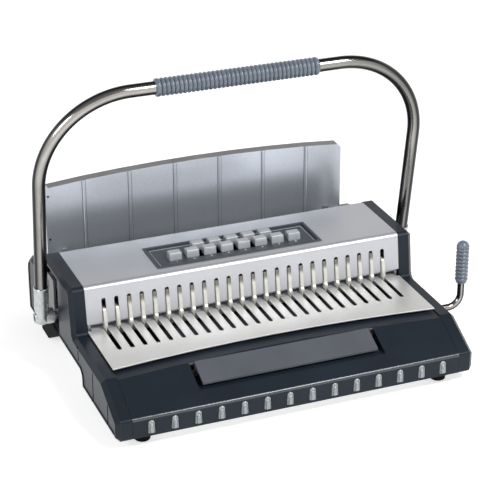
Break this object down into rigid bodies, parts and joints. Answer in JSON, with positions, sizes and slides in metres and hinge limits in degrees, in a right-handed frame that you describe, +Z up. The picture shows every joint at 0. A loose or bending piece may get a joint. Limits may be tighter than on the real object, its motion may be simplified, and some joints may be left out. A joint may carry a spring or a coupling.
{
  "type": "manual comb punching and binding machine",
  "caption": "Desktop comb punch and binder with a U-shaped pull handle, hinged rear lid, comb opener lever, pin selector buttons and a chip drawer.",
  "frame": {"origin": "middle of the machine's box in plan, on the floor under its feet", "axes": "+X to the user's right along the punching line, +Y to the back, +Z up"},
  "size_m": [0.4684, 0.3326, 0.3243],
  "materials": {
    "satin_silver": "satin silver",
    "brushed_steel": "brushed",
    "charcoal_plastic": "fine matt",
    "slate_plastic": "matt",
    "black_rubber": "matt",
    "grip_rubber": "ribbed",
    "polished_tube": "polished",
    "cast_alloy": "as cast",
    "hook_steel": "plain",
    "plated_steel": "zinc plated",
    "stud_plastic": "gloss",
    "button_plastic": "semi-gloss",
    "lid_plastic": "semi-gloss"
  },
  "bodies": {
    "base": {"base_pan": "plated_steel", "rear_cover": "charcoal_plastic", "front_foot_left": "black_rubber", "front_foot_right": "black_rubber", "rear_foot_left": "black_rubber", "rear_foot_right": "black_rubber", "fascia": "charcoal_plastic", "front_studs": "stud_plastic", "side_cap_left": "charcoal_plastic", "side_cap_right": "charcoal_plastic", "top_cover": "satin_silver", "work_table": "brushed_steel", "frame_plate_left": "plated_steel", "frame_plate_right": "plated_steel", "die_block": "plated_steel", "pin_guide": "plated_steel", "shaft_bush_left": "hook_steel", "shaft_bush_right": "hook_steel", "return_spring": "plated_steel", "bearing_plate_left": "plated_steel", "bearing_plate_right": "plated_steel", "drawer_runners": "plated_steel", "selector_tray": "charcoal_plastic", "lid_hinge_rail": "plated_steel", "lid_hinge_rod": "hook_steel"},
    "handle": {"handle_tube": "polished_tube", "handle_grip": "grip_rubber", "handle_socket_left": "cast_alloy", "handle_socket_right": "cast_alloy", "socket_bolt_left": "plated_steel", "socket_bolt_right": "plated_steel", "drive_shaft": "plated_steel"},
    "press": {"pressure_bar": "plated_steel", "punch_pins": "hook_steel"},
    "press_links": {"press_link_left": "plated_steel", "press_link_right": "plated_steel"},
    "lever": {"lever_rod": "polished_tube", "lever_grip": "grip_rubber"},
    "rake": {"hook_rake": "hook_steel", "opener_link": "plated_steel"},
    "drawer": {"chip_drawer": "slate_plastic", "drawer_pull": "slate_plastic"},
    "lid": {"rear_lid": "lid_plastic", "lid_back": "lid_plastic", "lid_arm_left": "plated_steel", "lid_arm_right": "plated_steel"},
    "selector_front_1": {"button_front_1": "button_plastic"},
    "selector_front_2": {"button_front_2": "button_plastic"},
    "selector_front_3": {"button_front_3": "button_plastic"},
    "selector_front_4": {"button_front_4": "button_plastic"},
    "selector_front_5": {"button_front_5": "button_plastic"},
    "selector_front_6": {"button_front_6": "button_plastic"},
    "selector_front_7": {"button_front_7": "button_plastic"},
    "selector_front_8": {"button_front_8": "button_plastic"},
    "selector_rear_1": {"button_rear_1": "button_plastic"},
    "selector_rear_2": {"button_rear_2": "button_plastic"},
    "selector_rear_3": {"button_rear_3": "button_plastic"},
    "selector_rear_4": {"button_rear_4": "button_plastic"},
    "selector_rear_5": {"button_rear_5": "button_plastic"}
  },
  "joints": [
    {"name": "handle_swing", "type": "hinge", "parent": "base", "child": "handle", "pos_m": [-0.00907, 0.05325, 0.053], "axis": [1, 0, 0], "range_deg": [0, 72], "stiffness_Nm_per_rad": 2.4, "springref_deg": -17.19},
    {"name": "press_slide", "type": "slide", "parent": "base", "child": "press", "axis": [0, 0, -1], "range_m": [0, 0.00843]},
    {"name": "link_swing", "type": "hinge", "parent": "press", "child": "press_links", "pos_m": [-0.00907, 0.00175, 0.0995], "axis": [1, 0, 0], "range_deg": [0, 4.22]},
    {"name": "lever_swing", "type": "hinge", "parent": "base", "child": "lever", "pos_m": [0.22693, -0.06675, 0.038], "axis": [1, 0, 0], "range_deg": [0, 100]},
    {"name": "rake_slide", "type": "slide", "parent": "base", "child": "rake", "axis": [0, -1, 0], "range_m": [0, 0.0229]},
    {"name": "drawer_slide", "type": "slide", "parent": "base", "child": "drawer", "axis": [0, -1, 0], "range_m": [0, 0.1]},
    {"name": "lid_swing", "type": "hinge", "parent": "base", "child": "lid", "pos_m": [-0.00907, 0.09625, 0.0715], "axis": [1, 0, 0], "range_deg": [0, 90]},
    {"name": "select_front_1", "type": "slide", "parent": "base", "child": "selector_front_1", "axis": [0, 0, -1], "range_m": [0, 0.003]},
    {"name": "select_front_2", "type": "slide", "parent": "base", "child": "selector_front_2", "axis": [0, 0, -1], "range_m": [0, 0.003]},
    {"name": "select_front_3", "type": "slide", "parent": "base", "child": "selector_front_3", "axis": [0, 0, -1], "range_m": [0, 0.003]},
    {"name": "select_front_4", "type": "slide", "parent": "base", "child": "selector_front_4", "axis": [0, 0, -1], "range_m": [0, 0.003]},
    {"name": "select_front_5", "type": "slide", "parent": "base", "child": "selector_front_5", "axis": [0, 0, -1], "range_m": [0, 0.003]},
    {"name": "select_front_6", "type": "slide", "parent": "base", "child": "selector_front_6", "axis": [0, 0, -1], "range_m": [0, 0.003]},
    {"name": "select_front_7", "type": "slide", "parent": "base", "child": "selector_front_7", "axis": [0, 0, -1], "range_m": [0, 0.003]},
    {"name": "select_front_8", "type": "slide", "parent": "base", "child": "selector_front_8", "axis": [0, 0, -1], "range_m": [0, 0.003]},
    {"name": "select_rear_1", "type": "slide", "parent": "base", "child": "selector_rear_1", "axis": [0, 0, -1], "range_m": [0, 0.003]},
    {"name": "select_rear_2", "type": "slide", "parent": "base", "child": "selector_rear_2", "axis": [0, 0, -1], "range_m": [0, 0.003]},
    {"name": "select_rear_3", "type": "slide", "parent": "base", "child": "selector_rear_3", "axis": [0, 0, -1], "range_m": [0, 0.003]},
    {"name": "select_rear_4", "type": "slide", "parent": "base", "child": "selector_rear_4", "axis": [0, 0, -1], "range_m": [0, 0.003]},
    {"name": "select_rear_5", "type": "slide", "parent": "base", "child": "selector_rear_5", "axis": [0, 0, -1], "range_m": [0, 0.003]}
  ],
  "couplings": [
    {"joint": "press_slide", "follows": "handle_swing", "m_per_rad": 0.0067024},
    {"joint": "link_swing", "follows": "handle_swing", "ratio": 0.0585},
    {"joint": "lever_swing", "follows": "rake_slide", "rad_per_m": 75.9}
  ]
}
